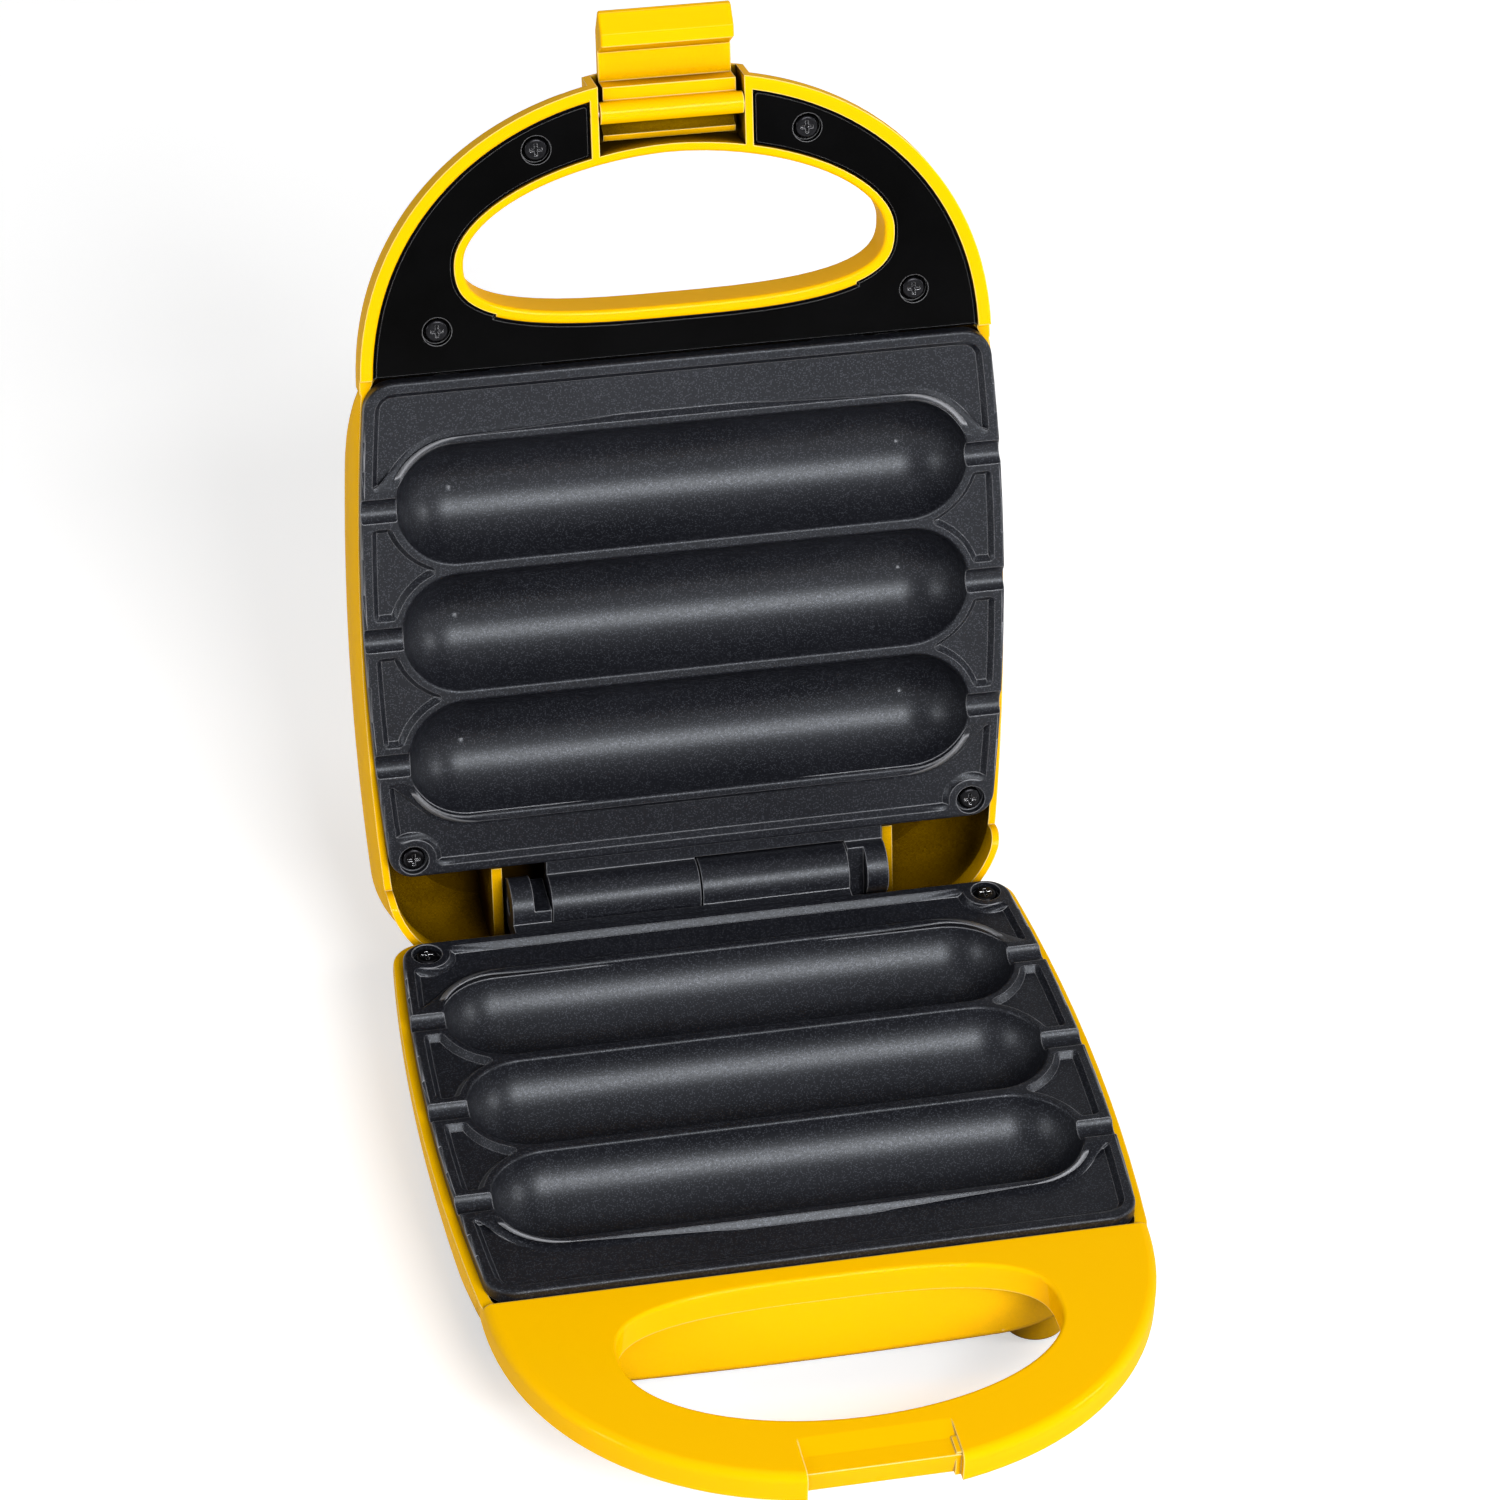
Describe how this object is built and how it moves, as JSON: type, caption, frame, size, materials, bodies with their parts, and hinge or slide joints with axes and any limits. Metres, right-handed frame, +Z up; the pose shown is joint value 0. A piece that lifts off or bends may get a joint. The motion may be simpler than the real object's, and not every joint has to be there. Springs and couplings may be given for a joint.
{
  "type": "corn dog maker",
  "caption": "Clamshell electric cooker with long round-ended cavities in hinged coated plates, looped hand holds and a swinging latch.",
  "frame": {"origin": "centre of the footprint of the opened machine, on the floor under its foot pads", "axes": "+X to the machine's own left as seen from behind, along the hinge; +Y towards the hinge and the rear; +Z up; the lower handle points along -Y"},
  "size_m": [0.1874, 0.3074, 0.2866],
  "materials": {
    "yellow_shell": "satin-gloss moulded shell",
    "coated_plate": "satin non-stick coating on cast metal",
    "black_cover": "gloss black moulding",
    "dark_screw": "darkened steel",
    "steel": "plain zinc-plated steel",
    "heater_sheath": "dull sheathed tube",
    "shield_sheet": "mill-finish sheet",
    "control_body": "moulded control with a metal cap",
    "fuse_sleeve": "woven sleeve",
    "terminal_body": "heat-proof moulding",
    "dark_grommet": "matte rubber",
    "foot_rubber": "matte rubber",
    "red_lens": "clear red moulding",
    "green_lens": "clear green moulding",
    "lamp_glass": "neon lamp"
  },
  "bodies": {
    "base": {"lower_housing": "yellow_shell", "lower_plate": "coated_plate", "lower_plate_screws": "dark_screw", "hinge_pin": "dark_screw", "lower_heating_element": "heater_sheath", "lower_heater_cradles": "steel", "lower_heat_shield": "shield_sheet", "lower_shield_screws": "steel", "thermostat": "control_body", "thermal_fuse": "fuse_sleeve", "fuse_bracket": "steel", "control_screws": "steel", "terminal_block": "terminal_body", "terminal_block_screws": "steel", "cord_grommet": "dark_grommet", "cord_clamp": "terminal_body", "cord_clamp_screws": "steel", "foot_pads": "foot_rubber"},
    "lid": {"upper_housing": "yellow_shell", "upper_plate": "coated_plate", "upper_plate_screws": "dark_screw", "handle_cover_screws": "dark_screw", "handle_cover": "black_cover", "latch_pin": "steel", "upper_heating_element": "heater_sheath", "upper_heater_cradles": "steel", "upper_heat_shield": "shield_sheet", "upper_shield_screws": "steel", "power_lens": "red_lens", "ready_lens": "green_lens", "neon_lamps": "lamp_glass", "lamp_holder": "terminal_body", "lamp_holder_screws": "steel"},
    "latch": {"latch": "yellow_shell"}
  },
  "joints": [
    {"name": "lid_hinge", "type": "hinge", "parent": "base", "child": "lid", "pos_m": [0, 0.0825, 0.0411], "axis": [1, 0, 0], "range_deg": [0, 103.5]},
    {"name": "latch_pivot", "type": "hinge", "parent": "lid", "child": "latch", "pos_m": [0, 0.13952, 0.2623], "axis": [1, 0, 0], "range_deg": [0, 90]}
  ]
}
